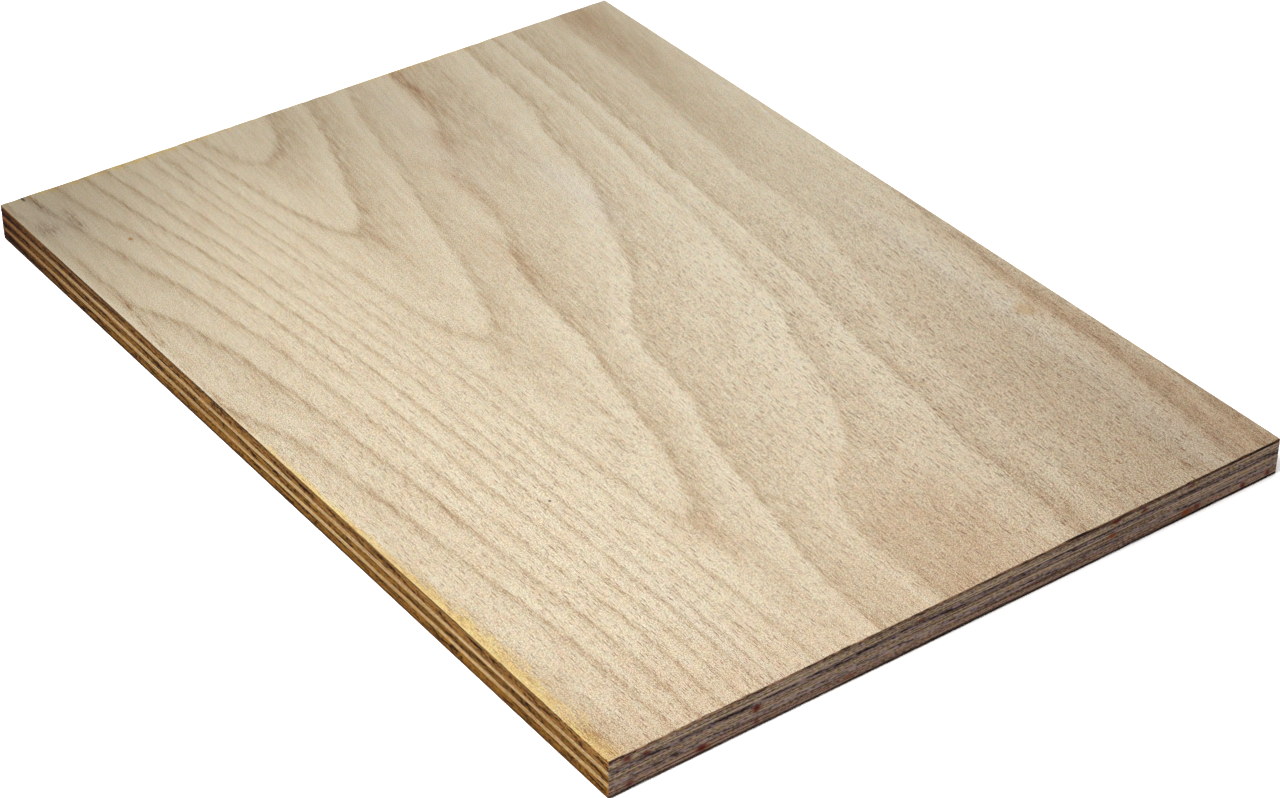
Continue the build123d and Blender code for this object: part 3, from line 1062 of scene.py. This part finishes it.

# %% [markdown]
# Each ply now gets its own wood. Every one was peeled from a different log, so each has its own pale and
# dark tone, for its long edges and for its short ones. On the short edges the three crossbands are also
# set darker and redder from the upper one down to the lower one. The two outer veneers also wear the
# sanded face, wherever a point lies within a tenth of a millimetre of the height of the face. Bare wood
# is matt, with an IOR of 1.5. Its roughness is about 0.6 on the outer veneers, which are sanded, and 0.8
# on the inner plies, which are only sawn. A low sheen keeps all edges dull.

# %% The woods and their pieces
WOOD_IOR = 1.5
SANDED_ROUGHNESS = (0.68, 0.55)
SANDED_HEIGHT = (-0.3, 0.3)
SAWN_ROUGHNESS = 0.8
SHEEN = (0.15, 0.5)
FIBRE_RELIEF = 0.03
BUMP_STRENGTH = 0.5
FACE_DEPTH = (0.1, 0.04)
# the crossbands' short-edge tones get darker and redder from the upper one to the lower one
TONES = {
    "back_veneer": (("#9A6626", "#3A1E06"), ("#7A6052", "#3F302A")),
    "lower_crossband": (("#B27A2E", "#381C08"), ("#CEA890", "#624638")),
    "lower_long_ply": (("#F6D49A", "#C29052"), ("#C8ACA0", "#56443E")),
    "core_crossband": (("#B07A32", "#361C0A"), ("#DABA9E", "#6A503C")),
    "upper_long_ply": (("#F6D6A0", "#C49458"), ("#B89C94", "#463836")),
    "upper_crossband": (("#BC8442", "#3A1C0A"), ("#E2C4A6", "#705542")),
    "face_veneer": (("#D39E53", "#56300F"), ("#DDAE8A", "#51382C")),
}


def beech(node, slot, top, shown_height, marks):
    """The wood of one ply: sawn on its edges and, on an outer veneer, sanded on its face."""
    is_outer = slot == "outer_veneer"
    material = bpy.data.materials.new(("sanded_beech_" if is_outer else "sawn_beech_") + node)
    material.use_nodes = True
    tree = material.node_tree
    coordinates = add(tree, "TexCoord", {})
    place = add(tree, "VectorMath", {0: coordinates.outputs["Object"], "Scale": 1 / MM}, operation="SCALE")
    colour, height = sawn_edge(tree, place, coordinates.outputs["Normal"], top, slot, TONES[node])
    finish = {"IOR": WOOD_IOR, "Roughness": SAWN_ROUGHNESS, "Specular IOR Level": SHEEN[0]}
    if is_outer:
        face_colour, face_height = sanded_face(tree, place, marks)
        level = add(tree, "SeparateXYZ", {0: place}).outputs["Z"]
        off_face = add(tree, "Math", {0: level, 1: shown_height}, operation="SUBTRACT")
        depth = add(tree, "Math", {0: off_face}, operation="ABSOLUTE")
        on_face = add(tree, "MapRange", {"Value": depth, "From": FACE_DEPTH})
        colour = add(tree, "Mix", {0: on_face, 6: colour, 7: face_colour}, data_type="RGBA")
        height = add(tree, "Mix", {0: on_face, 2: height, 3: face_height}, data_type="FLOAT")
        finish["Roughness"] = add(tree, "MapRange", {"Value": face_height, "From": SANDED_HEIGHT,
                                                     "To": SANDED_ROUGHNESS})
        finish["Specular IOR Level"] = add(tree, "MapRange", {"Value": on_face, "To": SHEEN})
    finish["Base Color"] = colour
    finish["Normal"] = add(tree, "Bump", {"Height": height, "Strength": BUMP_STRENGTH,
                                          "Distance": FIBRE_RELIEF * MM})
    fill(tree, tree.nodes["Principled BSDF"], finish)
    return material


for node in plies:
    piece = pieces[node]
    marks = MARKS if node == plies[-1] else []
    bottom, top = levels(node)
    shown_height = bottom if node == plies[0] else top
    wood = beech(node, slots[node], top, shown_height, marks)
    piece.data.materials.append(wood)
    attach(piece, "root")
    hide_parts(node)
    print(piece.name, "wears", wood.name, "with", len(wood.node_tree.nodes), "nodes")

# %% [markdown]
# The studio. The floor is a flat pale plane, set a twentieth of a millimetre below the sheet, because
# two faces in one plane would flicker. Floor and surround are at their whitest only where the camera
# looks straight at them, so that whiteness puts no extra light on the wood.

# %% Floor
FLOOR_SIZE = 12.0
FLOOR_DROP = 0.05 * MM
FLOOR_FOR_LIGHT = (0.5, 0.5, 0.5, 1.0)
FLOOR_FOR_CAMERA = (2.2, 2.2, 2.2, 1.0)
half = FLOOR_SIZE / 2
corners = [(-half, -half, 0), (half, -half, 0), (half, half, 0), (-half, half, 0)]
floor_mesh = bpy.data.meshes.new("studio_floor")
floor_mesh.from_pydata(corners, [], [(0, 1, 2, 3)])
floor = bpy.data.objects.new("studio_floor", floor_mesh)
bpy.context.collection.objects.link(floor)
floor.location.z = -FLOOR_DROP
floor_paint = bpy.data.materials.new("matt_studio_floor")
floor_paint.use_nodes = True
tree = floor_paint.node_tree
seen = add(tree, "LightPath", {}).outputs["Is Camera Ray"]
floor_colour = add(tree, "Mix", {0: seen, 6: FLOOR_FOR_LIGHT, 7: FLOOR_FOR_CAMERA}, data_type="RGBA")
matt = add(tree, "BsdfDiffuse", {"Color": floor_colour})
fill(tree, tree.nodes["Material Output"], {"Surface": matt})
floor_mesh.materials.append(floor_paint)
print("floor", FLOOR_SIZE, "m wide")

# %% [markdown]
# An even white surround lights every side a little. One soft lamp hangs high in front of the sheet, a
# little right of its middle, so the face is bright, the long edge is lit and the short edge is in shade.
# It is a square softbox as long as the sheet, so every shadow has a soft rim.

# %% Surround and lamp
SURROUND_LIGHT = 0.38
LAMP_PLACE = (0.12, -0.33, 0.60)
LAMP_TARGET = (0.06, -0.02, 0.0)
LAMP_SIZE = 0.4
LAMP_POWER = 3.4
world = bpy.data.worlds.new("white_surround")
bpy.context.scene.world = world
world.use_nodes = True
tree = world.node_tree
path = add(tree, "LightPath", {})
direct = add(tree, "Math", {0: path.outputs["Is Camera Ray"], 1: path.outputs["Is Transmission Ray"]},
             operation="MAXIMUM")
strength = add(tree, "MapRange", {"Value": direct, "To": (SURROUND_LIGHT, 1.0)})
fill(tree, tree.nodes["Background"], {"Color": linear("#FFFFFF"), "Strength": strength})

lamp_data = bpy.data.lights.new("softbox", "AREA")
lamp_data.shape = "SQUARE"
lamp_data.size = LAMP_SIZE
lamp_data.energy = LAMP_POWER
lamp = bpy.data.objects.new("softbox", lamp_data)
bpy.context.collection.objects.link(lamp)
lamp.location = LAMP_PLACE
aim = Vector(LAMP_TARGET) - lamp.location
lamp.rotation_euler = aim.to_track_quat("-Z", "Y").to_euler()
print("lamp", round(aim.length, 3), "m from the spot that it points at")

# %% [markdown]
# The camera stands off the near corner and looks down at the sheet through a long lens. Its place,
# heading and tilt were solved from the corners of the sheet, so the picture frames it corner to corner.

# %% Camera
CAMERA_PLACE = (0.7976, -0.5702, 0.6588)
HEADING, TILT_DOWN, ROLL = 53.711, 34.781, 0.106
LENS = 90.44
SENSOR_WIDTH = 36.0
camera_data = bpy.data.cameras.new("camera")
camera_data.lens = LENS
camera_data.sensor_width = SENSOR_WIDTH
camera_data.sensor_fit = "HORIZONTAL"
camera = bpy.data.objects.new("camera", camera_data)
bpy.context.collection.objects.link(camera)
turn = Matrix.Rotation(math.radians(HEADING), 4, "Z") @ Matrix.Rotation(math.radians(90 - TILT_DOWN), 4, "X")
camera.matrix_world = Matrix.Translation(CAMERA_PLACE) @ turn @ Matrix.Rotation(math.radians(ROLL), 4, "Z")
bpy.context.scene.camera = camera
bpy.context.scene.view_settings.view_transform = "Standard"
print("camera", LENS, "mm lens, heading", HEADING, "degrees, looking down", TILT_DOWN, "degrees")
